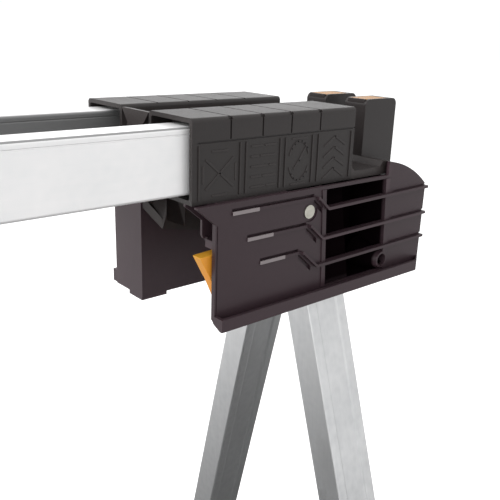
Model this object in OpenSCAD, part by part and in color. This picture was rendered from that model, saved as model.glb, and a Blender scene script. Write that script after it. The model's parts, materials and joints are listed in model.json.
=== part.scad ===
// Folding sawhorse: two steel rails, a moulded head at each end, and a pair of folding steel legs
// under each head. The two heads are one design, turned half a turn about the vertical axis.
// Frame: origin on the floor under the centre, +X along the rails, +Z up. Millimetres.
// A head is drawn in its own frame: +X outward from the middle of the horse, +Y from the ribbed
// cover to the box cover, and Z = 0 at the top of its saddles.

/* [Overall] */
// Height of the saddle tops above the floor
work_h = 730; // [650:1:820]
// Distance between the inner ends of the two heads
head_gap = 590; // [570:2:700]
// Width of the horse over both saddles
total_w = 130; // [130:1:134]

/* [Rails] */
// Width of a rail
rail_w = 24; // [20:1:26]
// Height of a rail
rail_h = 42.6; // [38:0.2:43]
// Wall of a rail
rail_wall = 1.6; // [1:0.1:2.5]
// Outer side of a saddle to the rail
rail_inset = 5.4; // [4:0.2:8]
// Saddle top to the top of the rail
rail_drop = 5.7; // [4:0.1:6]
// Length of rail held inside each head
rail_grip = 128; // [100:1:135]

/* [Head] */
// Length of a saddle
saddle_l = 148; // [140:1:150]
// Width of a saddle
saddle_w = 48; // [46:1:48]
// Height of a saddle
saddle_h = 54; // [52:1:55]
// Length of a head
head_l = 237; // [235:1:240]
// Wall of the moulded parts
wall = 2.5; // [2:0.1:3]
// Gap across the slot that holds a board on edge
slot_w = 38; // [36:1:39]
// Depth of the slot below the saddle top
slot_depth = 48; // [44:1:49]

/* [Posts] */
// Front of the post by the ribbed cover, from that side of the saddles
post_y = 23; // [20:0.5:24]
// Front of the other post
far_post_y = 66.5; // [62:0.5:68]
// Depth of a post, across the rails
post_d = 22; // [18:1:24]
// Width of a post, along the rails
post_w = 38.5; // [36:0.5:40]
// Top of a post above the saddle tops
post_top = 1.6; // [0:0.1:4]

/* [Leg cover] */
// Outer plane of the ribbed cover, outside the saddle's face
cover_proud = 6; // [5:0.2:7]
// Bottom of the ribbed cover, below the saddle top
cover_drop = 139; // [136:1:141]
// How far the ribs stand out
rib_out = 3.2; // [2:0.1:4]
// Thickness of a rib
rib_t = 2.2; // [1.6:0.1:2.6]
// How far the bottom lip stands out from the saddle's face
lip_out = 14.5; // [12:0.5:16]

/* [Box cover] */
// Front wall of the box, from the ribbed cover's side of the saddles
box_y = 82; // [82:0.5:84]
// Depth of the box
box_d = 38; // [34:1:40]
// Inner end of the box
box_x = 13.5; // [12:0.5:16]
// Bottom of the box, below the saddle top
box_drop = 145; // [140:1:146]

/* [Legs] */
// Width of a leg, along the rails
leg_w = 40.4; // [38:0.2:41]
// Depth of a leg, across the rails
leg_d = 25.4; // [24:0.2:25.4]
// Wall of a leg
leg_wall = 1.5; // [1:0.1:2]
// Splay of each leg, across the rails, in degrees
splay = 15.04; // [12:0.01:15.1]
// Outward lean of the legs, along the rails, in degrees
lean = 2.46; // [1:0.01:4]
// Height of a foot
foot_h = 26; // [20:1:40]

/* [Hinges] */
// Fold pin along X from the head's inner end
fold_x = 99.7; // [98:0.1:101]
// Fold pin below the saddle top
fold_drop = 71; // [70:0.2:72]
// Radius of the fold pin
fold_r = 5; // [4:0.1:5.5]
// Middle of the leg pair, from the ribbed cover's side of the saddles
pair_y = 38; // [37.5:0.1:38]
// Legs' centre line outside the fold pin
leg_u = 22.7; // [22:0.1:23.5]
// Splay pins below the fold pin
splay_drop = 14; // [13:0.1:15]
// Radius of a splay pin
splay_r = 4; // [3:0.1:4.5]
// Radial clearance of a turning fit
run_fit = 0.05; // [0.02:0.01:0.1]

/* [Latch] */
// Latch pin along X from the head's inner end
latch_x = 30; // [28:0.5:32]
// Latch pin below the saddle top
latch_drop = 118; // [117:0.5:120]
// Radius of the latch pin
latch_r = 2.5; // [2:0.1:3]

/* [Hidden] */

plastic = [0.11, 0.10, 0.10];
steel = [0.78, 0.79, 0.80];
bright = [0.86, 0.86, 0.84];
orange = [0.93, 0.55, 0.12];
dark_steel = [0.32, 0.32, 0.33];

eps = 0.02;
snug = 0.2;
mid_y = total_w / 2;
far_y = total_w - saddle_w;
inner_face = -wall;
slot_end = saddle_l + slot_w;
pair_half = leg_d / 2 + 0.15;
bore_r = fold_r + run_fit;
// Length of a leg from its splay pin to the middle of its sole
leg_l = (work_h - fold_drop - splay_drop) / (cos(lean) * cos(splay));
leg_start = 15;
latch_stop_r = 14;

// ---- Frames ----

module right_head() {
    translate([head_gap / 2, -mid_y, work_h]) children();
}

module left_head() {
    rotate([0, 0, 180]) right_head() children();
}

// The mirror image of a head's piece, on the other side of the mid-plane
module across() {
    translate([0, total_w, 0]) mirror([0, 1, 0]) children();
}

// A profile drawn in X and Z, extruded from y0 to y1
module along_y(y0, y1) {
    translate([0, y1, 0]) rotate([90, 0, 0]) linear_extrude(y1 - y0) children();
}

// A profile drawn in Y and Z, extruded from x0 to x1
module along_x(x0, x1) {
    translate([x0, 0, 0]) rotate([90, 0, 90]) linear_extrude(x1 - x0) children();
}

module pin_y(x, z, y0, y1, r) {
    translate([x, y0, z]) rotate([-90, 0, 0]) cylinder(h = y1 - y0, r = r, $fn = 48);
}

module pin_x(y, z, x0, x1, r) {
    translate([x0, y, z]) rotate([0, 90, 0]) cylinder(h = x1 - x0, r = r, $fn = 48);
}

module pin_z(x, y, z0, z1, r) {
    translate([x, y, z0]) cylinder(h = z1 - z0, r = r, $fn = 40);
}

module box(lo, hi) {
    translate(lo) cube(hi - lo);
}

module round_rect(w, h, r) {
    translate([r, 0]) square([w - 2 * r, h]);
    translate([0, r]) square([w, h - 2 * r]);
    for (x = [r, w - r], y = [r, h - r]) translate([x, y]) circle(r, $fn = 32);
}

// The frame of a leg pair: origin on the fold pin, tilted by the outward lean
module pair_frame() {
    translate([fold_x, pair_y, -fold_drop]) rotate([0, -lean, 0]) children();
}

// The frame of one leg: origin on its splay pin, -Z down the leg; side is -1 for the leg by the
// ribbed cover and 1 for the leg by the box
module leg_frame(side) {
    pair_frame() translate([leg_u, side * pair_half, -splay_drop]) rotate([side * splay, 0, 0])
        children();
}

// Only what is above the floor, so that each sole is cut level
module above_floor() {
    intersection() {
        children();
        box([-100, -300, -work_h], [300, 400, 0]);
    }
}

// ---- Rails ----

module rail() {
    z = work_h - rail_drop - rail_h;
    half = head_gap / 2 + rail_grip;
    groove_z = rail_h - 5;
    translate([0, rail_inset - mid_y, z]) along_x(-half, half) difference() {
        round_rect(rail_w, rail_h, 2.2);
        translate([rail_wall, rail_wall])
            round_rect(rail_w - 2 * rail_wall, rail_h - 2 * rail_wall, 1);
        translate([-eps, groove_z]) square([0.35, 0.8]);
        translate([rail_w - 0.35, groove_z]) square([0.35 + eps, 0.8]);
    }
}

module front_rail() {
    color(steel) rail();
}

module rear_rail() {
    color(steel) rotate([0, 0, 180]) rail();
}

// ---- Head: saddles ----

panel_x = [30, 57, 83, 111];
frame_ridges = [5, 38, 43, 73, 78, 104, 110, 144.5];
mouth_l = 16;
panel_line = 15;

module saddle() {
    corner_r = 3;
    groove = 0.9;
    ridge = 0.7;
    difference() {
        union() {
            along_x(0, saddle_l) translate([0, -saddle_h]) round_rect(saddle_w, saddle_h, corner_r);
            along_x(0, saddle_l) translate([0, -saddle_h]) square([saddle_w, saddle_h / 2]);
            for (x = frame_ridges)
                box([x - 0.6, -ridge, -saddle_h + 3], [x + 0.6, eps, -panel_line - 2]);
        }
        // Mouth, wider than the rail, then the socket that holds it
        along_x(-eps, mouth_l) translate([wall + 0.4, -saddle_h + wall + 0.4])
            round_rect(saddle_w - 2 * wall - 0.8, saddle_h - 2 * wall - 0.8, 1.5);
        along_x(-eps, rail_grip + 1) translate([rail_inset - snug, -rail_drop - rail_h - snug])
            square([rail_w + 2 * snug, rail_h + 2 * snug]);
        // Five top panels and the lines that frame the front face
        for (x = panel_x) {
            box([x - 0.7, -eps, -groove], [x + 0.7, saddle_w + eps, eps]);
            box([x - 0.6, -eps, -panel_line], [x + 0.6, groove, -groove]);
            box([x - 1.8, -eps, -2.2], [x + 1.8, 1.8, eps]);
        }
        box([4, -eps, -panel_line - 0.6], [saddle_l + eps, groove, -panel_line + 0.6]);
        // Screw holes from below
        for (x = bolt_x) {
            pin_z(x, rail_inset + rail_w / 2, -saddle_h - eps, -saddle_h + 6, bolt_r + 0.1);
            pin_z(x, rail_inset + rail_w / 2, -saddle_h - eps, -saddle_h + 2.2, bolt_head_r + 0.4);
        }
    }
}

module leg_side_saddle() {
    color(plastic) saddle();
}

module plain_side_saddle() {
    color(plastic) across() saddle();
}

bolt_x = [36, 76];
bolt_r = 2.5;
bolt_head_r = 4.5;

module rail_bolt() {
    y = rail_inset + rail_w / 2;
    rail_floor = -rail_drop - rail_h;
    for (x = bolt_x) difference() {
        union() {
            pin_z(x, y, -saddle_h + 0.3, -saddle_h + 2.2, bolt_head_r);
            pin_z(x, y, -saddle_h + 2, rail_floor, bolt_r);
        }
        box([x - 2.6, y - 0.6, -saddle_h - 1], [x + 2.6, y + 0.6, -saddle_h + 1.2]);
        box([x - 0.6, y - 2.6, -saddle_h - 1], [x + 0.6, y + 2.6, -saddle_h + 1.2]);
    }
}

module rail_bolts() {
    color(dark_steel) {
        rail_bolt();
        across() rail_bolt();
    }
}

// ---- Head: bridge, deck and posts ----

saw_depth = 34;
gusset_y = 67;
shoulder_r = 94;
shoulder_at = [174, -136.5];
post_sink = 4.5;
post_floor = -slot_depth - post_sink;
skirt_z = -70;
box_gap = 0.3;

// The head's outer end, rounded off from the posts down to its full length, above z0
module shoulder_outline(z0) {
    intersection() {
        translate(shoulder_at) circle(shoulder_r, $fn = 160);
        translate([slot_end, z0]) square([head_l - slot_end, -z0]);
    }
}

// Floor of the board slot, with a round corner by the saddle and a step up to the posts
module deck_outline() {
    corner = 6;
    step = 4.5;
    translate([saddle_l, -saddle_h]) square([slot_w + eps, saddle_h - slot_depth]);
    difference() {
        translate([saddle_l, -slot_depth - eps]) square([corner, corner]);
        translate([saddle_l + corner, -slot_depth + corner]) circle(corner, $fn = 48);
    }
    polygon([
        [slot_end - step, -slot_depth - eps], [slot_end + eps, -slot_depth - eps],
        [slot_end + eps, -slot_depth + step], [slot_end - 1, -slot_depth + step]
    ]);
    shoulder_outline(-saddle_h);
}

module bridge() {
    web_top = -1.5;
    skin = 3.5;
    seat = 8;
    color(plastic) difference() {
        union() {
            // Saw channel between the saddles
            box([3, saddle_w, -saw_depth - 3], [saddle_l, far_y, -saw_depth]);
            for (y = [saddle_w, far_y - wall])
                box([3, y, -saddle_h], [saddle_l, y + wall, -saw_depth]);
            // End wall with drafted sides
            along_x(0, 3) polygon([
                [saddle_w, -saddle_h], [saddle_w, -28], [saddle_w + 8, -11], [saddle_w, web_top],
                [far_y, web_top], [far_y - 7, -11], [far_y, -28], [far_y, -saddle_h]
            ]);
            along_y(0, total_w) deck_outline();
            // Skirt over the outer end, between the two covers
            along_y(0, box_y) difference() {
                shoulder_outline(skirt_z);
                translate(shoulder_at) circle(shoulder_r - skin, $fn = 160);
            }
            // Seats under the outer edges of the posts
            for (y = [post_y, far_post_y])
                box([slot_end + post_w - seat, y, -saddle_h - skin],
                    [slot_end + post_w, min(y + post_d, box_y - box_gap), post_floor]);
            gusset();
        }
        // Sockets for the posts
        for (y = [post_y, far_post_y])
            box([slot_end, y, post_floor], [slot_end + post_w, y + post_d, 0]);
        // Drain and weight-saving slots through the deck
        for (y = [52, 62]) box([156, y, -saddle_h - 1], [178, y + 6, -slot_depth + 1]);
    }
}

// Nose that ties the box to the saddles, clear of the folded legs, with a hollowed front
module gusset() {
    difference() {
        hull() {
            along_y(gusset_y + 1, gusset_y + 2)
                polygon([[34, -56], [34, -72], [23, -89], [60, -96], [60, -56]]);
            along_y(box_y - 1, box_y) polygon([[15, -56], [15, -75], [60, -82], [60, -56]]);
        }
        // Hollow towards the box, behind a lower rim
        hull() {
            along_y(gusset_y, gusset_y + 3)
                polygon([[26, -50], [26, -76], [24, -82], [33, -68], [33, -50]]);
            along_y(box_y - 5, box_y - 4)
                polygon([[16, -50], [16, -69], [21, -72], [33, -60], [33, -50]]);
        }
        // Sloped hollow in the front
        hull() {
            along_y(gusset_y, gusset_y + 1.5) polygon([[27, -50], [27, -83], [43, -90], [43, -50]]);
            along_y(gusset_y + 9, gusset_y + 10) polygon([[33, -50], [33, -64], [40, -64], [40, -50]]);
        }
    }
    box([34, gusset_y + 2, -58], [60, box_y, -saddle_h]);
}

pad_rim = 2.2;
pad_sink = 3.2;
pad_l = 29;

module post_outline() {
    corner = 5;
    foot = 20;
    translate([slot_end, post_floor]) square([post_w, foot + 1]);
    translate([slot_end, post_floor + foot]) round_rect(post_w, post_top - post_floor - foot, corner);
    translate([slot_end, post_floor + foot]) square([post_w, corner + 1]);
}

module post(y) {
    top = post_top;
    difference() {
        along_y(y, y + post_d) post_outline();
        box([slot_end - 1, y + pad_rim, top - pad_sink],
            [slot_end + pad_l, y + post_d - pad_rim, top + 1]);
    }
}

module post_pad(y) {
    gap = 0.1;
    box([slot_end + 0.4, y + pad_rim + gap, post_top - pad_sink],
        [slot_end + pad_l - gap, y + post_d - pad_rim - gap, post_top]);
}

module leg_side_post() {
    color(plastic) post(post_y);
}

module plain_side_post() {
    color(plastic) post(far_post_y);
}

module post_pads() {
    color(orange) {
        post_pad(post_y);
        post_pad(far_post_y);
    }
}

// ---- Head: ribbed cover ----

cover_x0 = 14.4;
cover_top = -56.5;
cover_back = -133.5;
lip_top = 130.2;
lip_wall = 2.4;
lip_mitre = 12.3;
pocket_x0 = 149;
pocket_y1 = 30;
boss_at = [186, -124];
boss_r = 6.6;
window_x = [114.8, 183];
window_lean = 5;

// Each rib: where it starts, where it slopes, and the heights before and after the slope
ribs = [[27.5, 106, 116.5, -61.3, -70.4], [41, 99.5, 112.5, -81.2, -92.5], [53.3, 93, 108, -100, -113]];
rib_rise = 1.6;
ledge_l = 23;
ledge_in = 2;

module cover_outline() {
    polygon([
        [0, -saddle_h], [slot_end + eps, -saddle_h], [slot_end + eps, cover_back],
        [cover_x0, cover_back], [cover_x0, -67], [0, -saddle_h - 1]
    ]);
    shoulder_outline(cover_back);
}

// The window's edges lean outward as they go down, as the legs do
module window_outline(x0, x1) {
    polygon([
        [x0, cover_top], [x1, cover_top], [x1 + window_lean, cover_back + 1.5],
        [x0 + window_lean, cover_back + 1.5]
    ]);
}

// A band along a rib, between two distances above its middle
module rib_band(r, x0, x1, lo, hi) {
    intersection() {
        polygon([
            [r[0], r[3] + hi], [r[1], r[3] + hi], [r[2], r[4] + hi], [head_l, r[4] + rib_rise + hi],
            [head_l, r[4] + rib_rise + lo], [r[2], r[4] + lo], [r[1], r[3] + lo], [r[0], r[3] + lo]
        ]);
        translate([x0, cover_back]) square([x1 - x0, -cover_back]);
    }
}

module rib(r) {
    half = rib_t / 2;
    low = 1;
    // Faint as far as the slope, proud from there to the outer end
    along_y(-cover_proud - low, -cover_proud + eps) rib_band(r, r[0], r[1], -half, half);
    along_y(-cover_proud - rib_out, -cover_proud + 1) rib_band(r, r[1] - 1, head_l, -half, half);
    along_y(-cover_proud, -wall) rib_band(r, window_x[0] - 2, window_x[1] + 6, -half, half);
    // Sloped ledge that starts the rib, under its groove
    along_x(r[0], r[0] + ledge_l) polygon([
        [-cover_proud + ledge_in, r[3] + half], [-cover_proud - low, r[3] - half + 0.3],
        [-cover_proud - low, r[3] - half - 0.3], [-cover_proud + ledge_in, r[3] - half - 0.3]
    ]);
}

module rib_grooves(r) {
    half = rib_t / 2;
    deep = 2.4;
    fine = 0.9;
    along_y(-cover_proud - eps, -cover_proud + deep) {
        rib_band(r, r[0], r[0] + ledge_l, -half, half + 2);
        rib_band(r, r[0] + 2, r[1] - 3, half, half + 2);
        translate([-3.4, -1.6]) rib_band(r, r[1] + 0.5, r[2] - 1, -half - 1.6, half);
    }
    along_y(-cover_proud - eps, -cover_proud + fine)
        rib_band(r, window_x[1] + 11, head_l + 1, half, half + 1.2);
}

// Section of the lip: a gutter under the cover's face
module lip_section() {
    polygon([
        [inner_face, -lip_top + 3], [-cover_proud, -lip_top + 3], [-cover_proud, cover_back],
        [-lip_out + lip_wall + 2, cover_back], [-lip_out + lip_wall, -lip_top], [-lip_out, -lip_top],
        [-lip_out, -cover_drop], [-lip_out + lip_wall, -cover_drop],
        [-lip_out + lip_wall, cover_back - wall], [inner_face - 3, cover_back - wall],
        [inner_face, cover_back + 1]
    ]);
}

module lip_end_section() {
    polygon([
        [-cover_proud + 1, -lip_top], [-lip_out, -lip_top], [-lip_out, -cover_drop],
        [-lip_out + lip_wall, -cover_drop], [inner_face - 3, cover_back - wall],
        [-cover_proud + 1, cover_back]
    ]);
}

// Lip with a mitred outer end, and a plate that closes each end
module lip() {
    intersection() {
        along_x(cover_x0, head_l) lip_section();
        translate([0, 0, -cover_drop - 1]) linear_extrude(20) polygon([
            [cover_x0, 0], [cover_x0, -lip_out], [head_l - lip_mitre, -lip_out],
            [head_l, -cover_proud], [head_l, 0]
        ]);
    }
    intersection() {
        along_x(cover_x0, head_l) lip_end_section();
        translate([0, 0, -cover_drop - 1]) linear_extrude(20) {
            translate([cover_x0, -lip_out]) square([wall, lip_out]);
            polygon([
                [head_l - lip_mitre - wall, -lip_out], [head_l - lip_mitre, -lip_out],
                [head_l, -cover_proud], [head_l, 0], [head_l - wall, 0],
                [head_l - wall, -cover_proud]
            ]);
        }
    }
}

// Inside of the window beside the legs: its back follows their splay
module shallow_pocket(grow) {
    x0 = window_x[0] + 2.3;
    along_x(x0 - grow, pocket_x0 + eps) polygon([
        [-cover_proud - eps, cover_top + grow], [8.6 + grow, cover_top + grow], [8.6 + grow, -66],
        [-3.1 + grow, cover_back + 2.5 - grow], [-3.1, cover_back + 1.5 - grow],
        [-cover_proud - eps, cover_back + 1.5 - grow]
    ]);
}

module deep_outline(grow) {
    polygon([
        [pocket_x0 - grow, cover_top + grow], [window_x[1] + grow, cover_top + grow],
        [window_x[1] + window_lean + grow, cover_back + 1.5 - grow],
        [pocket_x0 - grow, cover_back + 1.5 - grow]
    ]);
}

module deep_pocket(grow) {
    along_y(inner_face - 2, pocket_y1 + grow) deep_outline(grow);
}

// Conical screw boss, which widens towards the inside
module screw_boss() {
    depth = 26;
    spread = 8;
    translate([boss_at[0], -cover_proud - 1, boss_at[1]]) rotate([-90, 0, 0])
        cylinder(h = depth, r1 = boss_r, r2 = boss_r + spread, $fn = 64);
}

// Cheek behind the cover's inner edge, with a rounded foot, and the short wall below it
module latch_cheek() {
    y0 = 8.4;
    foot_z = -80.5;
    along_y(y0, y0 + 2) polygon([
        [1, -saddle_h], [1, -saddle_h - 2], [cover_x0, -67], [cover_x0, foot_z + 3.5],
        [cover_x0 + 1.2, foot_z + 1], [cover_x0 + 3.6, foot_z], [cover_x0 + 16, foot_z],
        [cover_x0 + 16, -saddle_h]
    ]);
    box([cover_x0 + 2.4, inner_face - eps, foot_z], [cover_x0 + 16, y0 + 1, foot_z + 2]);
    box([cover_x0, inner_face - eps, foot_z - 3.5], [cover_x0 + wall, 4.8, foot_z + 2]);
}

module ribbed_cover() {
    skin = 1.4;
    color(plastic) {
        difference() {
            union() {
                along_y(-cover_proud, inner_face) cover_outline();
                // Thicker beyond the legs, with a wall round the outer end
                along_y(inner_face - eps, 0) intersection() {
                    cover_outline();
                    translate([window_x[1] + 7, cover_back]) square([60, -cover_back]);
                }
                along_y(-eps, 30) translate([head_l - wall, cover_back])
                    square([wall, skirt_z - box_gap - cover_back]);
                intersection() {
                    shallow_pocket(skin);
                    box([0, inner_face - 1, -200], [head_l, 30, -saddle_h]);
                }
                deep_pocket(skin + 0.5);
                // Raised borders of the window
                along_y(-cover_proud - 0.8, -cover_proud + eps) {
                    window_outline(window_x[0] - 4, window_x[0] + 1);
                    window_outline(window_x[1] - 1, window_x[1] + 5);
                }
                lip();
                // Screw boss in the corner of the window
                intersection() {
                    screw_boss();
                    box([100, -20, cover_back], [head_l, 30, -saddle_h]);
                }
                // Fixing flange under the saddle
                box([18, inner_face - eps, -saddle_h - 3], [80, 11, -saddle_h]);
                latch_cheek();
                // Boss round the latch pin
                pin_y(latch_x, -latch_drop, inner_face - eps, -1.3, 5);
            }
            // Window that the ribs cross, shallow beside the legs and deep beyond them
            difference() {
                union() {
                    along_y(-cover_proud - 1, -cover_proud + 2) window_outline(window_x[0], window_x[1]);
                    shallow_pocket(0);
                    deep_pocket(0);
                    along_y(-cover_proud, inner_face) deep_outline(0);
                }
                screw_boss();
            }
            for (r = ribs) rib_grooves(r);
            // Bead line along the inner edge
            box([cover_x0 + 1.1, -cover_proud - eps, cover_back],
                [cover_x0 + 1.9, -cover_proud + 0.5, -68]);
            pin_y(fold_x, -fold_drop, -20, 5, fold_r + 0.02);
            pin_y(fold_x, -fold_drop, -20, -cover_proud + 1, fold_r + 2.4);
            pin_y(latch_x, -latch_drop, -cover_proud + 1.5, 5, latch_r + 0.02);
            // Deep counterbore for the cover's screw
            pin_y(boss_at[0], boss_at[1], -20, 6, boss_r - 1.6);
            pin_y(boss_at[0], boss_at[1], 5, 16, 2.1);
        }
        for (r = ribs) rib(r);
    }
}

// ---- Head: box cover ----

module box_cover() {
    y1 = box_y + box_d;
    pad = 3;
    color(plastic) difference() {
        union() {
            along_y(box_y, y1) {
                translate([box_x, -box_drop]) square([slot_end + 1 - box_x, box_drop - saddle_h]);
                intersection() {
                    shoulder_outline(-box_drop);
                    translate([box_x, -box_drop]) square([head_l, box_drop - saddle_h]);
                }
            }
            // Corner pads at the foot of the box
            box([box_x, box_y + 0.5, -box_drop - pad], [36, 101, -box_drop + eps]);
            box([box_x + 1, y1 - eps, -box_drop], [36, y1 + 7, -box_drop + 10]);
        }
        box([box_x + wall, box_y + wall, -box_drop - pad - 1], [slot_end, y1 - wall, -saddle_h - wall]);
        box([slot_end - 1, box_y + wall, -box_drop - 1], [head_l - wall, y1 - wall, -70]);
        pin_y(fold_x, -fold_drop, box_y - 5, box_y + 5, fold_r + 0.02);
        for (p = box_screws) pin_y(p[0], p[1], y1 - screw_l - 1, y1 + 5, 2.1);
    }
}

box_screws = [[32, -66], [212, -70], [32, -126], [212, -126]];
screw_l = 8;

module screw(x, z, y, dir) {
    slot = [min(0.8 * dir, 3 * dir), max(0.8 * dir, 3 * dir)];
    pin_y(x, z, min(y, y - dir * screw_l), max(y, y - dir * screw_l), 2);
    difference() {
        pin_y(x, z, min(y, y + dir * 2), max(y, y + dir * 2), 4);
        box([x - 2.6, y + slot[0], z - 0.6], [x + 2.6, y + slot[1], z + 0.6]);
        box([x - 0.6, y + slot[0], z - 2.6], [x + 0.6, y + slot[1], z + 2.6]);
    }
}

module cover_screws() {
    color(dark_steel) {
        for (p = box_screws) screw(p[0], p[1], box_y + box_d, 1);
        screw(boss_at[0], boss_at[1], 6, -1);
    }
}

// ---- Head: fold hinge ----

module fold_pin() {
    end_y = box_y + wall + 3;
    color(bright) difference() {
        union() {
            pin_y(fold_x, -fold_drop, -cover_proud + 0.3, end_y, fold_r);
            pin_y(fold_x, -fold_drop, end_y - 3, end_y, fold_r + 2);
        }
        pin_y(fold_x, -fold_drop, end_y - 1, end_y + 1, 1.5);
    }
}

washer_t = 1.4;

module fold_washers() {
    color(bright) for (y = [inner_face + 0.1, box_y - 0.1 - washer_t]) difference() {
        pin_y(fold_x, -fold_drop, y, y + washer_t, fold_r + 4);
        pin_y(fold_x, -fold_drop, y - 1, y + washer_t + 1, fold_r + 0.02);
    }
}

barrel_r = 9;
disc_y1 = 4;
eye_w = 26;
lug_t = 3.6;

module yoke() {
    y0 = inner_face + 0.3 + washer_t;
    y1 = box_y - 0.3 - washer_t;
    u0 = leg_u - eye_w / 2 - 0.3 - lug_t;
    u1 = leg_u + eye_w / 2 + 0.3 + lug_t;
    lug_y = pair_half + 10.5;
    notch = 45;
    color(plastic) difference() {
        union() {
            pin_y(fold_x, -fold_drop, y0, y1, barrel_r);
            pin_y(fold_x, -fold_drop, y0, disc_y1, latch_stop_r);
            pair_frame() {
                // Roof over the leg eyes, and the two lug plates that hold the splay pins
                box([0, -lug_y, -0.6], [u1, lug_y, 8]);
                box([0, -lug_y, -8], [u0 + lug_t, lug_y, 8]);
                for (u = [u0, u1 - lug_t]) along_x(u, u + lug_t) {
                    translate([-pair_half, -splay_drop]) circle(10.5, $fn = 48);
                    translate([pair_half, -splay_drop]) circle(10.5, $fn = 48);
                    translate([-lug_y, -splay_drop]) square([2 * lug_y, splay_drop + 2]);
                    translate([-pair_half, -splay_drop - 10.5]) square([2 * pair_half, 12]);
                }
            }
        }
        pin_y(fold_x, -fold_drop, -20, box_y + 5, bore_r);
        // Notch for the latch tooth
        translate([fold_x, 0, -fold_drop]) rotate([0, -notch, 0])
            box([-latch_stop_r - 2, y0 - 1, -2.6], [-latch_stop_r + 3.6, disc_y1 + 1, 2.6]);
        for (side = [-1, 1]) pair_frame()
            pin_x(side * pair_half, -splay_drop, u0 - 1, u1 + 1, splay_r + 0.02);
    }
}

module splay_pins() {
    reach = eye_w / 2 + 0.3 + lug_t;
    color(bright) for (side = [-1, 1]) pair_frame() {
        pin_x(side * pair_half, -splay_drop, leg_u - reach, leg_u + reach, splay_r);
        pin_x(side * pair_half, -splay_drop, leg_u + reach, leg_u + reach + 1.2, splay_r + 1.5);
        pin_x(side * pair_half, -splay_drop, leg_u - reach - 1.2, leg_u - reach, splay_r + 1.5);
    }
}

// ---- Legs ----

flute_w = 20;
flute_d = 1.4;

// Rolled tube: both broad faces carry a wide sunken flute
module leg_profile(w, d, flute) {
    difference() {
        translate([-w / 2, -d / 2]) round_rect(w, d, 1.6);
        for (s = [-1, 1]) scale([1, s]) polygon([
            [-flute / 2 - flute_d, d / 2 + eps], [-flute / 2, d / 2 - flute_d],
            [flute / 2, d / 2 - flute_d], [flute / 2 + flute_d, d / 2 + eps]
        ]);
    }
}

module leg(side) {
    length = leg_l - foot_h - leg_start;
    color(steel) leg_frame(side) difference() {
        translate([0, 0, -leg_l + foot_h]) linear_extrude(length) difference() {
            leg_profile(leg_w, leg_d, flute_w);
            leg_profile(leg_w - 2 * leg_wall, leg_d - 2 * leg_wall, flute_w + 2 * leg_wall);
        }
        pin_x(0, rivet_z, -leg_w, leg_w, rivet_r + 0.02);
    }
}

plug_l = 34;
plug_gap = 0.3;
rivet_z = -32;
rivet_r = 2.4;

// Moulded eye that is riveted into the top of a leg and turns on its splay pin
module leg_plug(side) {
    eye_r = 9.5;
    color(plastic) leg_frame(side) difference() {
        union() {
            pin_x(0, 0, -eye_w / 2, eye_w / 2, eye_r);
            box([-eye_w / 2, -eye_r, -leg_start + 1], [eye_w / 2, eye_r, 0]);
            box([-leg_w / 2, -leg_d / 2 + flute_d, -leg_start], [leg_w / 2, leg_d / 2 - flute_d,
                -leg_start + 2]);
            translate([0, 0, -leg_start - plug_l]) linear_extrude(plug_l + 1)
                leg_profile(leg_w - 2 * leg_wall - plug_gap, leg_d - 2 * leg_wall - plug_gap,
                    flute_w + 2 * leg_wall);
        }
        pin_x(0, 0, -eye_w, eye_w, splay_r + run_fit);
        pin_x(0, rivet_z, -leg_w, leg_w, rivet_r + 0.02);
        box([-8, -5, -leg_start - plug_l - 1], [8, 5, -leg_start - 12]);
    }
}

module leg_rivets(side) {
    half = leg_w / 2;
    color(bright) leg_frame(side) {
        pin_x(0, rivet_z, -half - 1, half + 1, rivet_r);
        for (x = [-half - 1, half]) pin_x(0, rivet_z, x, x + 1, rivet_r + 2);
    }
}

// Block foot that plugs into the bottom of a leg
module foot(side) {
    flare = 1.6;
    tread = 3;
    color(plastic) above_floor() leg_frame(side) difference() {
        union() {
            box([-leg_w / 2 - flare, -leg_d / 2, -leg_l - 12], [leg_w / 2 + flare, leg_d / 2,
                -leg_l + foot_h]);
            translate([0, 0, -leg_l + foot_h - 1]) linear_extrude(24)
                leg_profile(leg_w - 2 * leg_wall - plug_gap, leg_d - 2 * leg_wall - plug_gap,
                    flute_w + 2 * leg_wall);
        }
        for (x = [-14, -5, 4, 13]) box([x, -leg_d, -leg_l - 20], [x + 1.8, leg_d, -leg_l + tread]);
    }
}

// ---- Latch ----

hub_r = 8.2;
lever_y0 = -1.2;
lever_y1 = 3.2;
spring_wire = 0.35;
spring_r = 4.2;
spring_y = 1.3;

// Spring-loaded lever: thumb paddle at the head's inner end, tooth beside the yoke's disc
module latch_lever() {
    pocket_y = spring_y - spring_wire;
    pad_y1 = 7.4;
    color(orange) difference() {
        union() {
            along_y(lever_y0, lever_y1) {
                translate([latch_x, -latch_drop]) circle(hub_r, $fn = 48);
                polygon([
                    [28, -111], [78, -84.5], [85, -81.5], [87.9, -79.6], [91.1, -82.8], [92, -87],
                    [86, -92], [36, -122]
                ]);
            }
            // Paddle, thick at the top where the thumb presses it
            intersection() {
                along_y(lever_y0, pad_y1) difference() {
                    polygon([[6, -89], [23, -88], [23.4, -128], [21.5, -128], [15, -106]]);
                    translate([latch_x, -latch_drop]) circle(6, $fn = 32);
                }
                along_x(0, latch_x) polygon([
                    [lever_y0, -80], [pad_y1, -80], [pad_y1, -104], [lever_y1, -118], [lever_y1, -130],
                    [lever_y0, -130]
                ]);
            }
        }
        pin_y(latch_x, -latch_drop, -5, 20, latch_r + run_fit);
        pin_y(latch_x, -latch_drop, pocket_y, 20, hub_r - 2);
    }
}

module latch_pin() {
    end_y = lever_y1 + 0.6;
    color(bright) {
        pin_y(latch_x, -latch_drop, -cover_proud + 1.6, end_y, latch_r);
        pin_y(latch_x, -latch_drop, end_y - 0.5, end_y - 0.1, latch_r + 2);
    }
}

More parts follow.
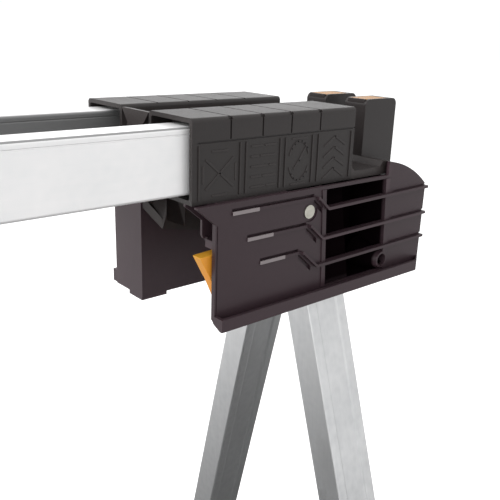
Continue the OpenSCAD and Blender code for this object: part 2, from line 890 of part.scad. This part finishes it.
// Torsion spring round the latch pin, wholly inside the lever's hub
module latch_spring() {
    color(dark_steel) {
        for (turn = [0:2]) translate([latch_x, spring_y + turn * 2 * spring_wire, -latch_drop])
            rotate([90, 0, 0]) rotate_extrude($fn = 48) translate([spring_r, 0])
            circle(spring_wire, $fn = 16);
        for (end = [0, 1]) translate([latch_x, spring_y + end * 4 * spring_wire, -latch_drop])
            rotate([0, 20 + 180 * end, 0]) translate([spring_r, 0, 0]) rotate([0, 90, 0])
            cylinder(h = 1.3, r = spring_wire, $fn = 16);
    }
}

// ---- The two heads. The left one is turned half a turn, so its leg by the ribbed cover is the
// rear leg, and its leg by the box is the front one ----

module right_leg_side_saddle() {
    right_head() leg_side_saddle();
}

module right_plain_side_saddle() {
    right_head() plain_side_saddle();
}

module right_bridge() {
    right_head() bridge();
}

module right_ribbed_cover() {
    right_head() ribbed_cover();
}

module right_box_cover() {
    right_head() box_cover();
}

module right_leg_side_post() {
    right_head() leg_side_post();
}

module right_plain_side_post() {
    right_head() plain_side_post();
}

module right_post_pads() {
    right_head() post_pads();
}

module right_fold_pin() {
    right_head() fold_pin();
}

module right_fold_washers() {
    right_head() fold_washers();
}

module right_yoke() {
    right_head() yoke();
}

module right_splay_pins() {
    right_head() splay_pins();
}

module right_front_leg() {
    right_head() leg(-1);
}

module right_rear_leg() {
    right_head() leg(1);
}

module right_front_leg_plug() {
    right_head() leg_plug(-1);
}

module right_rear_leg_plug() {
    right_head() leg_plug(1);
}

module right_front_leg_rivets() {
    right_head() leg_rivets(-1);
}

module right_rear_leg_rivets() {
    right_head() leg_rivets(1);
}

module right_front_foot() {
    right_head() foot(-1);
}

module right_rear_foot() {
    right_head() foot(1);
}

module right_latch_lever() {
    right_head() latch_lever();
}

module right_latch_pin() {
    right_head() latch_pin();
}

module right_latch_spring() {
    right_head() latch_spring();
}

module right_cover_screws() {
    right_head() cover_screws();
}

module right_rail_bolts() {
    right_head() rail_bolts();
}

module left_leg_side_saddle() {
    left_head() leg_side_saddle();
}

module left_plain_side_saddle() {
    left_head() plain_side_saddle();
}

module left_bridge() {
    left_head() bridge();
}

module left_ribbed_cover() {
    left_head() ribbed_cover();
}

module left_box_cover() {
    left_head() box_cover();
}

module left_leg_side_post() {
    left_head() leg_side_post();
}

module left_plain_side_post() {
    left_head() plain_side_post();
}

module left_post_pads() {
    left_head() post_pads();
}

module left_fold_pin() {
    left_head() fold_pin();
}

module left_fold_washers() {
    left_head() fold_washers();
}

module left_yoke() {
    left_head() yoke();
}

module left_splay_pins() {
    left_head() splay_pins();
}

module left_front_leg() {
    left_head() leg(1);
}

module left_rear_leg() {
    left_head() leg(-1);
}

module left_front_leg_plug() {
    left_head() leg_plug(1);
}

module left_rear_leg_plug() {
    left_head() leg_plug(-1);
}

module left_front_leg_rivets() {
    left_head() leg_rivets(1);
}

module left_rear_leg_rivets() {
    left_head() leg_rivets(-1);
}

module left_front_foot() {
    left_head() foot(1);
}

module left_rear_foot() {
    left_head() foot(-1);
}

module left_latch_lever() {
    left_head() latch_lever();
}

module left_latch_pin() {
    left_head() latch_pin();
}

module left_latch_spring() {
    left_head() latch_spring();
}

module left_cover_screws() {
    left_head() cover_screws();
}

module left_rail_bolts() {
    left_head() rail_bolts();
}

front_rail();
rear_rail();
right_leg_side_saddle();
right_plain_side_saddle();
right_bridge();
right_ribbed_cover();
right_box_cover();
right_leg_side_post();
right_plain_side_post();
right_post_pads();
right_fold_pin();
right_fold_washers();
right_yoke();
right_splay_pins();
right_front_leg();
right_rear_leg();
right_front_leg_plug();
right_rear_leg_plug();
right_front_leg_rivets();
right_rear_leg_rivets();
right_front_foot();
right_rear_foot();
right_latch_lever();
right_latch_pin();
right_latch_spring();
right_cover_screws();
right_rail_bolts();
left_leg_side_saddle();
left_plain_side_saddle();
left_bridge();
left_ribbed_cover();
left_box_cover();
left_leg_side_post();
left_plain_side_post();
left_post_pads();
left_fold_pin();
left_fold_washers();
left_yoke();
left_splay_pins();
left_front_leg();
left_rear_leg();
left_front_leg_plug();
left_rear_leg_plug();
left_front_leg_rivets();
left_rear_leg_rivets();
left_front_foot();
left_rear_foot();
left_latch_lever();
left_latch_pin();
left_latch_spring();
left_cover_screws();
left_rail_bolts();
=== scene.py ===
"""Folding sawhorse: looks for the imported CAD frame.

Everything is in metres, in the frame's axes: +X along the rails, +Z up, and the floor at 0. The
left head is the right one turned half a turn about Z, so most places are distances from X = 0.
"""

import json
import math

import bmesh
import bpy
from mathutils import Matrix, Vector


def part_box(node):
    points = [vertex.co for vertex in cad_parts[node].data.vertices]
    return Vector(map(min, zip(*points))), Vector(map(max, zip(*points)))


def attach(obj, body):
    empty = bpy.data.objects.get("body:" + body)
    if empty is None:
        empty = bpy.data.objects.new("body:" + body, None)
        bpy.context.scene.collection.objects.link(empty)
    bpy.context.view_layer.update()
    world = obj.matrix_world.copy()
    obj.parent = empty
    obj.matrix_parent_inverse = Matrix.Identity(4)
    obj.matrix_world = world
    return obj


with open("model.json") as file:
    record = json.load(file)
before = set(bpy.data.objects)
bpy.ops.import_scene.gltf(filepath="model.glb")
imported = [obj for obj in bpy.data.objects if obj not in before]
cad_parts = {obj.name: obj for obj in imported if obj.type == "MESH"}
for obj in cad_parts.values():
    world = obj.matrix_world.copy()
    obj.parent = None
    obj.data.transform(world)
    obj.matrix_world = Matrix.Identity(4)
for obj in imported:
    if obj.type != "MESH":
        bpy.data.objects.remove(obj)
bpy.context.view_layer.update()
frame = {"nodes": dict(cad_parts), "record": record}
nodes = frame["nodes"]
MM = 0.001
HEADS = ("right", "left")


# ---- Camera: a 48 mm lens close to the right head, looking down at it from the front left ----

CAMERA_FROM_HEAD = Vector((-237.4, -327.8, 52.4)) * MM
CAMERA_YAW = 0.7183
CAMERA_PITCH = -0.3195
CAMERA_ROLL = 0.0343
CAMERA_LENS = 48.29
CAMERA_SENSOR = 36.0
CAMERA_CLIP = (0.02, 60.0)


def head_origin():
    """The right head's own origin: inner end, front face and top of its front saddle."""
    low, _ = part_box("right_bridge")
    _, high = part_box("right_leg_side_saddle")
    return Vector((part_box("right_leg_side_saddle")[0].x, low.y, high.z))


ORIGIN = head_origin()


def make_camera():
    """Yaw turns from +Y towards +X, pitch tips up, and roll turns about the line of sight."""
    ahead = Vector((
        math.sin(CAMERA_YAW) * math.cos(CAMERA_PITCH),
        math.cos(CAMERA_YAW) * math.cos(CAMERA_PITCH),
        math.sin(CAMERA_PITCH),
    ))
    level = Vector((math.cos(CAMERA_YAW), -math.sin(CAMERA_YAW), 0.0))
    above = level.cross(ahead)
    right = level * math.cos(CAMERA_ROLL) + above * math.sin(CAMERA_ROLL)
    up = above * math.cos(CAMERA_ROLL) - level * math.sin(CAMERA_ROLL)
    turn = Matrix((right, up, -ahead)).transposed()
    data = bpy.data.cameras.new("camera")
    data.lens = CAMERA_LENS
    data.sensor_width = CAMERA_SENSOR
    data.clip_start, data.clip_end = CAMERA_CLIP
    camera = bpy.data.objects.new("camera", data)
    camera.matrix_world = Matrix.Translation(ORIGIN + CAMERA_FROM_HEAD) @ turn.to_4x4()
    bpy.context.scene.collection.objects.link(camera)
    bpy.context.scene.camera = camera


make_camera()


# ---- Materials ----


class Shader:
    """A small helper that adds nodes to a material and links them."""

    def __init__(self, name):
        self.material = bpy.data.materials.new(name)
        self.material.use_nodes = True
        self.tree = self.material.node_tree
        self.bsdf = self.tree.nodes["Principled BSDF"]
        self.coords = self.add("ShaderNodeTexCoord").outputs["Object"]

    def add(self, kind, **values):
        node = self.tree.nodes.new(kind)
        for key, value in values.items():
            setattr(node, key, value)
        return node

    def link(self, source, target):
        self.tree.links.new(source, target)

    def scaled(self, scale):
        """Object coordinates stretched by a scale in each direction."""
        mapping = self.add("ShaderNodeMapping")
        mapping.inputs["Scale"].default_value = scale
        self.link(self.coords, mapping.inputs["Vector"])
        return mapping.outputs["Vector"]

    def noise(self, scale, detail=2.0, rough=0.5, vector=None):
        node = self.add("ShaderNodeTexNoise")
        node.inputs["Scale"].default_value = scale
        node.inputs["Detail"].default_value = detail
        node.inputs["Roughness"].default_value = rough
        self.link(vector or self.coords, node.inputs["Vector"])
        return node.outputs["Fac"]

    def ramp(self, value, stops):
        """A colour for each value, from (place, colour) stops."""
        stops = list(stops)
        node = self.add("ShaderNodeValToRGB")
        elements = node.color_ramp.elements
        while len(elements) < len(stops):
            elements.new(0.5)
        for element, (place, colour) in zip(elements, stops):
            element.position = place
            element.color = (*colour, 1.0)
        self.link(value, node.inputs["Fac"])
        return node.outputs["Color"]

    def span(self, value, low, high, from_low=0.0, from_high=1.0):
        """The value's range from_low to from_high, stretched to low to high."""
        node = self.add("ShaderNodeMapRange")
        node.inputs["From Min"].default_value = from_low
        node.inputs["From Max"].default_value = from_high
        node.inputs["To Min"].default_value = low
        node.inputs["To Max"].default_value = high
        self.link(value, node.inputs["Value"])
        return node.outputs["Result"]

    def part_of(self, vector, axis):
        node = self.add("ShaderNodeSeparateXYZ")
        self.link(vector, node.inputs["Vector"])
        return node.outputs[axis]

    def worn_edges(self, low, high):
        """Where the surface is sharply convex, as on a rubbed edge."""
        geometry = self.add("ShaderNodeNewGeometry")
        return self.span(geometry.outputs["Pointiness"], 0.0, 1.0, low, high)

    def maths(self, operation, a, b):
        node = self.add("ShaderNodeMath", operation=operation)
        for socket, value in zip(node.inputs, (a, b)):
            if isinstance(value, (int, float)):
                socket.default_value = value
            else:
                self.link(value, socket)
        return node.outputs["Value"]

    def mix(self, factor, a, b):
        node = self.add("ShaderNodeMix", data_type="RGBA")
        for name, value in (("Factor", factor), ("A", a), ("B", b)):
            socket = next(s for s in node.inputs if s.name == name and s.enabled)
            if isinstance(value, (int, float)):
                socket.default_value = value
            elif isinstance(value, tuple):
                socket.default_value = (*value, 1.0)
            else:
                self.link(value, socket)
        return next(s for s in node.outputs if s.name == "Result" and s.enabled)

    def size(self, value):
        return self.maths("ABSOLUTE", value, 0.0)

    def away(self, axis):
        """Distance from the middle of the horse along one axis."""
        return self.size(self.part_of(self.coords, axis))

    def above(self, value, limit):
        return self.maths("GREATER_THAN", value, limit)

    def below(self, value, limit):
        return self.maths("LESS_THAN", value, limit)

    def all_of(self, *conditions):
        """The product of several masks: where all of them hold."""
        result = conditions[0]
        for condition in conditions[1:]:
            result = self.maths("MULTIPLY", result, condition)
        return result

    def weighted(self, *parts):
        """The sum of several values, each times its weight."""
        terms = [self.maths("MULTIPLY", value, weight) for value, weight in parts]
        total = terms[0]
        for term in terms[1:]:
            total = self.maths("ADD", total, term)
        return total

    def bump(self, height, strength, distance):
        node = self.add("ShaderNodeBump")
        node.inputs["Strength"].default_value = strength
        node.inputs["Distance"].default_value = distance
        self.link(height, node.inputs["Height"])
        return node.outputs["Normal"]

    def set(self, **values):
        """Fills the main shader's sockets and gives back the finished material."""
        for key, value in values.items():
            socket = self.bsdf.inputs[key.replace("_", " ")]
            if isinstance(value, (int, float)):
                socket.default_value = value
            elif isinstance(value, tuple):
                socket.default_value = (*value, 1.0)
            else:
                self.link(value, socket)
        return self.material


def scaled_colour(colour, factor):
    return tuple(min(1.0, part * factor) for part in colour)


# ---- Places given painted shade and painted highlight, found by where they are on the horse ----

# Painted shade on the rails' faces towards each other, with the depth over which its darker grey
# sets in
RAIL_INSIDE = min(abs(corner.y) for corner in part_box("front_rail")) + 0.4 * MM
RAIL_INSIDE_FADE = 1.0 * MM
RAIL_INSIDE_SHADE_TONE = 0.26

# Painted shade: a dark line along the rolled corner of each rail's top outer edge, above this
# height and outside this distance
RAIL_CORNER = (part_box("front_rail")[1].z - 1.1 * MM, abs(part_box("front_rail")[0].y) - 1.7 * MM)
RAIL_CORNER_COVER = 0.8
RAIL_CORNER_SHADE_COLOUR = (0.16, 0.16, 0.16)

# The window in each ribbed cover. The cover's face stands 6 mm outside the saddles, and the window
# goes in past their faces; beyond that depth its inside gets painted shade, near black and matt
WINDOW_MIDDLE = ORIGIN.x + 151.5 * MM
WINDOW_HALF = 38.5 * MM
WINDOW_DEPTH = abs(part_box("right_leg_side_saddle")[0].y) + 3.5 * MM
WINDOW_FADE = (-0.5 * MM, 1.5 * MM)
WINDOW_SHADE_TONE = 0.12

# Painted highlight on the first stretch of each rib, pale where a sloped ledge would catch the
# light:
# how far it starts from the head's inner end, and how far below the saddle's top it lies
LEDGES = ((27.5 * MM, 61.3 * MM), (41.0 * MM, 81.2 * MM), (53.3 * MM, 100.0 * MM))
LEDGE_L = 23 * MM
LEDGE_HALF_H = 1.3 * MM
LEDGE_FACE = abs(ORIGIN.y) + 6.3 * MM
LEDGE_HIGHLIGHT_COLOUR = (0.27, 0.235, 0.24)

# Painted shade on the pads: the strip nearest the saddles is painted the dark colour of the posts
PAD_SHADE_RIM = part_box("right_post_pads")[0].x + 2.0 * MM
POST_COLOUR = (0.028, 0.023, 0.0225)


# Painted shade: a darker grey on the rails' faces towards each other
def rail_inside_shade(s):
    return s.span(s.away("Y"), 1.0, 0.0, RAIL_INSIDE, RAIL_INSIDE + RAIL_INSIDE_FADE)


# Painted shade along the rail's top outer corner
def rail_corner_shade(s):
    height, across = RAIL_CORNER
    high = s.above(s.part_of(s.coords, "Z"), height)
    return s.all_of(high, s.above(s.away("Y"), across), RAIL_CORNER_COVER)


# Painted shade inside each cover's window
def cover_window_shade(s):
    """Across is below 0 on the ribbed covers' side, which changes from one head to the other."""
    x, y = s.part_of(s.coords, "X"), s.part_of(s.coords, "Y")
    along = s.size(s.maths("SUBTRACT", s.size(x), WINDOW_MIDDLE))
    across = s.maths("MULTIPLY", y, s.maths("SIGN", x, 0.0))
    start, end = (fade - WINDOW_DEPTH for fade in WINDOW_FADE)
    depth = s.span(across, 0.0, 1.0, start, end)
    return s.all_of(s.below(along, WINDOW_HALF), s.below(across, 0.0), depth)


def rib_ledge_highlight(start, drop):
    """A mask for one ledge's painted highlight, on both heads."""
    near, height = ORIGIN.x + start, ORIGIN.z - drop

    def ledge(s):
        away = s.away("X")
        off_line = s.size(s.maths("SUBTRACT", s.part_of(s.coords, "Z"), height))
        return s.all_of(
            s.above(s.away("Y"), LEDGE_FACE),
            s.above(away, near),
            s.below(away, near + LEDGE_L),
            s.below(off_line, LEDGE_HALF_H),
        )

    return ledge


# Painted shade on the pads' strip nearest the saddles
def pad_rim_shade(s):
    return s.below(s.away("X"), PAD_SHADE_RIM)


# ---- Kinds of material. Shades are (mask, colour) pairs of painted shade and painted highlight, laid over the main colour ----

# Scales are in features to the metre. Streaks are squeezed across the bar and drawn out along it
SPANGLE_SCALE, SPANGLE_SOFTNESS, SPANGLE_REACH = 160.0, 0.6, 0.8
STREAK_ACROSS, STREAK_ALONG = 14.0, 1.2

# Rubbed edges: the range of convexity they set in over, how strongly, and how much paler
RUB_RANGE = (0.53, 0.62)
RUB_COVER = 0.35
RUB_LIFT = 2.2

# The part of each noise's range that is spread between a material's dark and light ends
TONE_RANGE = (0.3, 0.7)


def galvanised(name, light, dark, along, roughness, metal=0.85, shades=()):
    """Zinc coat: soft spangle, faint rolling streaks along the bar, and small scuffs."""
    s = Shader(name)
    stretch = [STREAK_ACROSS] * 3
    stretch["XYZ".index(along)] = STREAK_ALONG
    cells = s.add("ShaderNodeTexVoronoi", feature="SMOOTH_F1")
    cells.inputs["Scale"].default_value = SPANGLE_SCALE
    cells.inputs["Smoothness"].default_value = SPANGLE_SOFTNESS
    s.link(s.coords, cells.inputs["Vector"])
    spangle = s.span(cells.outputs["Distance"], 0.0, 1.0, 0.0, SPANGLE_REACH)
    cloud = s.noise(scale=22.0, detail=4.0, rough=0.6)
    streak = s.noise(scale=18.0, detail=3.0, rough=0.6, vector=s.scaled(stretch))
    tone = s.weighted((cloud, 0.55), (streak, 0.3), (spangle, 0.15))
    colour = s.ramp(tone, zip(TONE_RANGE, (dark, light)))
    # Painted shade laid over the zinc's colour
    for mask, shade in shades:
        colour = s.mix(mask(s), colour, shade)
    fine = s.noise(scale=2600.0)
    relief = s.weighted((streak, 0.6), (fine, 0.1))
    return s.set(
        Base_Color=colour,
        Metallic=metal,
        Roughness=s.span(tone, roughness + 0.1, roughness - 0.08, *TONE_RANGE),
        Normal=s.bump(relief, strength=0.25, distance=0.4 * MM),
    )


def moulded(name, light, dark, roughness, grain, gloss=0.5, shades=(), recess_shade=None):
    """Glass-filled moulded plastic: spark-eroded grain, slight flow marks, and rubbed edges.

    Recess shade is a mask for painted shade: there the colour is painted near black, with no gloss.
    """
    s = Shader(name)
    flow = s.noise(scale=9.0, detail=3.0, rough=0.55)
    fine = s.noise(scale=1100.0, detail=3.0, rough=0.7)
    speck = s.noise(scale=260.0, rough=0.6)
    tone = s.weighted((flow, 0.55), (fine, 0.25), (speck, 0.2))
    colour = s.ramp(tone, [(0.32, dark), (0.68, light)])
    rubbed = s.maths("MULTIPLY", s.worn_edges(*RUB_RANGE), RUB_COVER)
    colour = s.mix(rubbed, colour, scaled_colour(light, RUB_LIFT))
    # Painted shade in a recess: near black, and the gloss taken away
    if recess_shade:
        inside = recess_shade(s)
        colour = s.mix(inside, colour, scaled_colour(dark, WINDOW_SHADE_TONE))
        gloss = s.maths("MULTIPLY", s.maths("SUBTRACT", 1.0, inside), gloss)
    # Painted shade and painted highlight laid over the colour
    for mask, shade in shades:
        colour = s.mix(mask(s), colour, shade)
    return s.set(
        Base_Color=colour,
        Roughness=s.span(tone, roughness - 0.06, roughness + 0.08, *TONE_RANGE),
        Specular_IOR_Level=gloss,
        Normal=s.bump(fine, strength=grain, distance=0.3 * MM),
    )


def plated(name, light, dark, roughness):
    """Turned, zinc-plated steel: fine tool marks and a little tarnish."""
    s = Shader(name)
    tarnish = s.noise(scale=120.0, detail=4.0, rough=0.6)
    marks = s.noise(scale=1500.0)
    colour = s.ramp(tarnish, zip(TONE_RANGE, (dark, light)))
    return s.set(
        Base_Color=colour,
        Metallic=1.0,
        Roughness=s.span(tarnish, roughness + 0.1, roughness - 0.05, *TONE_RANGE),
        Normal=s.bump(marks, strength=0.15, distance=0.2 * MM),
    )


RAIL_LIGHT, RAIL_DARK = (1.0, 0.99, 0.99), (0.93, 0.935, 0.94)
# Painted shade on the rails: their facing sides and their top outer corners
RAIL_PAINTED_SHADES = [
    (rail_inside_shade, scaled_colour(RAIL_DARK, RAIL_INSIDE_SHADE_TONE)), (rail_corner_shade, RAIL_CORNER_SHADE_COLOUR),
]
LEDGE_HIGHLIGHTS = [(rib_ledge_highlight(start, drop), LEDGE_HIGHLIGHT_COLOUR) for start, drop in LEDGES]

# Each slot's light and dark colour and its roughness, then what its kind of material needs
MATERIALS = {
    "rail_steel": galvanised(
        "rail_steel", RAIL_LIGHT, RAIL_DARK, "X", 0.40, metal=0.35, shades=RAIL_PAINTED_SHADES),
    "leg_steel": galvanised("leg_steel", (0.78, 0.785, 0.79), (0.64, 0.65, 0.66), "Z", 0.36),
    "head_plastic": moulded(
        "head_plastic", (0.027, 0.022, 0.0215), (0.019, 0.0155, 0.015), 0.44,
        grain=0.5, gloss=0.42),
    "cover_plastic": moulded(
        "cover_plastic", (0.046, 0.028, 0.034), (0.034, 0.019, 0.024), 0.42, grain=0.25, gloss=0.38,
        shades=LEDGE_HIGHLIGHTS, recess_shade=cover_window_shade),
    "post_plastic": moulded(
        "post_plastic", POST_COLOUR, (0.020, 0.016, 0.016), 0.44, grain=0.5, gloss=0.42),
    "pad_plastic": moulded(
        "pad_plastic", (0.50, 0.27, 0.10), (0.42, 0.21, 0.07), 0.5, grain=0.3, gloss=0.3,
        shades=[(pad_rim_shade, POST_COLOUR)]),
    "latch_plastic": moulded(
        "latch_plastic", (0.90, 0.36, 0.035), (0.80, 0.29, 0.02), 0.38, grain=0.2),
    "pin_steel": plated("pin_steel", (0.62, 0.61, 0.54), (0.48, 0.47, 0.41), 0.3),
    "screw_steel": plated("screw_steel", (0.20, 0.20, 0.21), (0.12, 0.12, 0.13), 0.35),
    "spring_steel": plated("spring_steel", (0.40, 0.40, 0.41), (0.28, 0.28, 0.30), 0.3),
    "yoke_plastic": moulded(
        "yoke_plastic", (0.020, 0.016, 0.016), (0.013, 0.010, 0.010), 0.5, grain=0.4, gloss=0.4),
    "foot_rubber": moulded(
        "foot_rubber", (0.030, 0.028, 0.028), (0.020, 0.019, 0.019), 0.7, grain=0.5, gloss=0.3),
}


# ---- Edges and materials on the CAD nodes ----

# How far each slot's edges are rounded, in millimetres. The spring's wire has no edges
BEVELS = {
    "rail_steel": 0.35, "leg_steel": 0.45, "head_plastic": 0.35, "cover_plastic": 0.45,
    "post_plastic": 0.8, "pad_plastic": 0.6, "latch_plastic": 0.6, "pin_steel": 0.4,
    "screw_steel": 0.2, "yoke_plastic": 0.5, "foot_rubber": 0.8,
}
BEVEL_SEGMENTS = 2
SHARP_ANGLE = math.radians(32)
WELD_WITHIN = 0.01 * MM
FACE_WEIGHT = 80


def slot_of(node):
    return next(s["material_slot"] for s in frame["record"]["subparts"] if s["node"] == node)


def soften(obj, width):
    """Rounds a CAD node's sharp edges without touching its mesh."""
    weld = obj.modifiers.new("weld", "WELD")
    weld.merge_threshold = WELD_WITHIN
    bevel = obj.modifiers.new("bevel", "BEVEL")
    bevel.width = width
    bevel.segments = BEVEL_SEGMENTS
    bevel.limit_method = "ANGLE"
    bevel.angle_limit = SHARP_ANGLE
    bevel.miter_outer = "MITER_ARC"
    bevel.harden_normals = False
    normals = obj.modifiers.new("normals", "WEIGHTED_NORMAL")
    normals.keep_sharp = False
    normals.weight = FACE_WEIGHT


for node, obj in nodes.items():
    slot = slot_of(node)
    obj.data.materials.clear()
    obj.data.materials.append(MATERIALS[slot])
    if slot in BEVELS:
        soften(obj, BEVELS[slot] * MM)


# ---- Moulded relief on the outer faces of the saddles: plain bars, arcs and chevrons ----

HEAD_PLACES = {
    "right": Matrix.Translation(ORIGIN),
    "left": Matrix.Rotation(math.pi, 4, "Z") @ Matrix.Translation(ORIGIN),
}
# A saddle on the head's far side wears the same relief, mirrored about the head's middle
HEAD_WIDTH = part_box("right_bridge")[1].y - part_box("right_bridge")[0].y
ACROSS = Matrix.Translation((0.0, HEAD_WIDTH, 0.0)) @ Matrix.Diagonal((1.0, -1.0, 1.0, 1.0))
RELIEF_RISE = 0.45 * MM
RELIEF_SINK = 0.1 * MM
RELIEF_WIDTH = 1.5 * MM
RELIEF_CHAMFER = 0.16 * MM
ROUND_STEPS = 8

# Each panel's ends along the saddle, as parts of its length, and the height band they share
PANELS = ((0.045, 0.245), (0.305, 0.485), (0.540, 0.695), (0.755, 0.965))
PANEL_BAND = (-0.93, -0.33)


def arc(centre, radius, start, end, steps=7):
    """Points along part of a circle, with angles in degrees."""
    angles = [math.radians(start + (end - start) * i / steps) for i in range(steps + 1)]
    return [(centre[0] + radius * math.cos(a), centre[1] + radius * math.sin(a)) for a in angles]


# The four designs are lists of lines, in parts of the panel's length and height


def crossed_bars():
    return [
        [(0.14, 0.18), (0.86, 0.74)], [(0.14, 0.74), (0.86, 0.18)], [(0.30, 0.90), (0.70, 0.90)],
        [(0.06, 0.30), (0.06, 0.62)], [(0.94, 0.30), (0.94, 0.62)], [(0.32, 0.03), (0.68, 0.03)],
    ]


def rows_of_dashes():
    """Each row is one line with a gap, at a different place in each."""
    start, end, half_gap = 0.1, 0.9, 0.05
    top, pitch = 0.92, 0.21
    rows = []
    for row, gap in enumerate((0.5, 0.36, 0.66, 0.44, 0.58)):
        height = top - pitch * row
        rows.append([(start, height), (gap - half_gap, height)])
        rows.append([(gap + half_gap, height), (end, height)])
    return rows


def gauge():
    middle, radius = (0.5, 0.5), 0.42
    return [
        arc(middle, radius, 20, 160), arc(middle, radius, 200, 340), [middle, (0.74, 0.76)],
        [middle, (0.30, 0.34)], [(0.2, 0.0), (0.8, 0.0)], [(0.2, 0.98), (0.8, 0.98)],
    ]


def chevrons():
    return [[(0.16, h), (0.50, h + 0.2), (0.84, h)] for h in (0.02, 0.26, 0.50, 0.74)]


def add_bar(mesh, place, start, end):
    """One round-ended raised bar on the plane Y = 0, with a small chamfer round its top."""
    half = RELIEF_WIDTH / 2
    along = Vector(end) - Vector(start)
    turn = math.atan2(along.y, along.x)

    def ring(radius, height):
        points = []
        for centre, facing in ((end, 0.0), (start, math.pi)):
            for i in range(ROUND_STEPS + 1):
                a = turn + facing + (i - ROUND_STEPS // 2) * math.pi / ROUND_STEPS
                x, z = centre[0] + radius * math.cos(a), centre[1] + radius * math.sin(a)
                points.append(mesh.verts.new(place @ Vector((x, -height, z))))
        return points

    rings = [
        ring(half, -RELIEF_SINK),
        ring(half, RELIEF_RISE - RELIEF_CHAMFER),
        ring(half - RELIEF_CHAMFER, RELIEF_RISE),
    ]
    for lower, upper in zip(rings, rings[1:]):
        count = len(lower)
        for i in range(count):
            j = (i + 1) % count
            mesh.faces.new((lower[i], lower[j], upper[j], upper[i]))
    mesh.faces.new(rings[2])
    mesh.faces.new(list(reversed(rings[0])))


def add_relief(head, side):
    """All four panels of one saddle's outer face, as one piece."""
    saddle = f"{head}_{side}_saddle"
    low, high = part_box(saddle)
    length, height = high.x - low.x, high.z - low.z
    place = HEAD_PLACES[head] if side == "leg_side" else HEAD_PLACES[head] @ ACROSS
    mesh = bmesh.new()
    foot, top = PANEL_BAND
    for (start, end), design in zip(PANELS, (crossed_bars, rows_of_dashes, gauge, chevrons)):
        for line in design():
            points = [
                ((start + (end - start) * u) * length, (foot + (top - foot) * v) * height)
                for u, v in line
            ]
            for a, b in zip(points, points[1:]):
                add_bar(mesh, place, a, b)
    bmesh.ops.recalc_face_normals(mesh, faces=mesh.faces)
    data = bpy.data.meshes.new(f"{saddle}_relief")
    mesh.to_mesh(data)
    mesh.free()
    data.materials.append(MATERIALS["head_plastic"])
    piece = bpy.data.objects.new(f"{saddle}_relief", data)
    bpy.context.scene.collection.objects.link(piece)
    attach(piece, "frame")


for head in HEADS:
    for side in ("leg_side", "plain_side"):
        add_relief(head, side)


# ---- Floor and light ----

# Painted shadow in what the floor throws back: dark near a point just in front of the horse, paler
# by distance from it
FLOOR_BOUNCE_SHADOW = [(0.0, (0.05, 0.05, 0.05)), (0.35, (0.38, 0.38, 0.38)), (0.85, (0.95, 0.95, 0.95))]
FLOOR_DARKEST = (0.0, -0.2, 0.0)
FLOOR_FADE = (0.45, 1.6)
FLOOR_COLOUR = [(0.3, (0.86, 0.86, 0.86)), (0.7, (0.88, 0.88, 0.88))]
FLOOR_GLOW = 0.45
FLOOR_HALF = 20.0

WORLD_LIT, WORLD_SEEN = 0.86, 1.02
MIDDLE = Vector((0.35, 0.0, 0.65))

# Each soft light's name, place, size, power in watts, and what it points at
LIGHTS = (
    ("key", (-1.4, 0.5, 2.4), (1.4, 1.4), 36.0, MIDDLE),
    ("back", (2.7, 2.9, 1.9), (2.6, 1.6), 14.0, ORIGIN + Vector((0.1, 0.06, 0.0))),
    ("side", (-2.4, -0.9, 1.1), (1.6, 1.2), 26.0, ORIGIN),
)


def make_floor():
    """Pale to the eye everywhere, but what it throws back up at the horse has a painted shadow near
    its feet.
    """
    s = Shader("studio_floor")
    flat = s.scaled((0.6, 1.0, 1.0))
    distance = s.add("ShaderNodeVectorMath", operation="DISTANCE")
    s.link(flat, distance.inputs[0])
    distance.inputs[1].default_value = FLOOR_DARKEST
    shadowed_bounce = s.add("ShaderNodeBsdfDiffuse")
    fade = s.span(distance.outputs["Value"], 0.0, 1.0, *FLOOR_FADE)
    s.link(s.ramp(fade, FLOOR_BOUNCE_SHADOW), shadowed_bounce.inputs["Color"])
    pale = s.set(
        Base_Color=s.ramp(s.noise(scale=3.0), FLOOR_COLOUR),
        Roughness=0.9,
        Emission_Color=(1.0, 1.0, 1.0),
        Emission_Strength=FLOOR_GLOW,
    )
    paths = s.add("ShaderNodeLightPath")
    mix = s.add("ShaderNodeMixShader")
    s.link(paths.outputs["Is Camera Ray"], mix.inputs["Fac"])
    s.link(shadowed_bounce.outputs["BSDF"], mix.inputs[1])
    s.link(s.bsdf.outputs["BSDF"], mix.inputs[2])
    s.link(mix.outputs["Shader"], s.tree.nodes["Material Output"].inputs["Surface"])
    mesh = bpy.data.meshes.new("floor")
    half = FLOOR_HALF
    corners = [(-half, -half, 0), (half, -half, 0), (half, half, 0), (-half, half, 0)]
    mesh.from_pydata(corners, [], [(0, 1, 2, 3)])
    mesh.materials.append(pale)
    floor = bpy.data.objects.new("floor", mesh)
    bpy.context.scene.collection.objects.link(floor)


def area_light(name, place, size, power, target):
    data = bpy.data.lights.new(name, "AREA")
    data.shape = "RECTANGLE"
    data.size, data.size_y = size
    data.energy = power
    light = bpy.data.objects.new(name, data)
    light.location = place
    light.rotation_mode = "QUATERNION"
    light.rotation_quaternion = (target - Vector(place)).to_track_quat("-Z", "Y")
    bpy.context.scene.collection.objects.link(light)


def make_light():
    """An even white world, seen a little brighter than it lights, and three soft lights."""
    world = bpy.data.worlds.new("studio")
    world.use_nodes = True
    background = world.node_tree.nodes["Background"]
    background.inputs["Color"].default_value = (1.0, 1.0, 1.0, 1.0)
    paths = world.node_tree.nodes.new("ShaderNodeLightPath")
    strength = world.node_tree.nodes.new("ShaderNodeMapRange")
    strength.inputs["To Min"].default_value = WORLD_LIT
    strength.inputs["To Max"].default_value = WORLD_SEEN
    world.node_tree.links.new(paths.outputs["Is Camera Ray"], strength.inputs["Value"])
    world.node_tree.links.new(strength.outputs["Result"], background.inputs["Strength"])
    bpy.context.scene.world = world
    bpy.context.scene.view_settings.view_transform = "Standard"
    for light in LIGHTS:
        area_light(*light)


make_floor()
make_light()
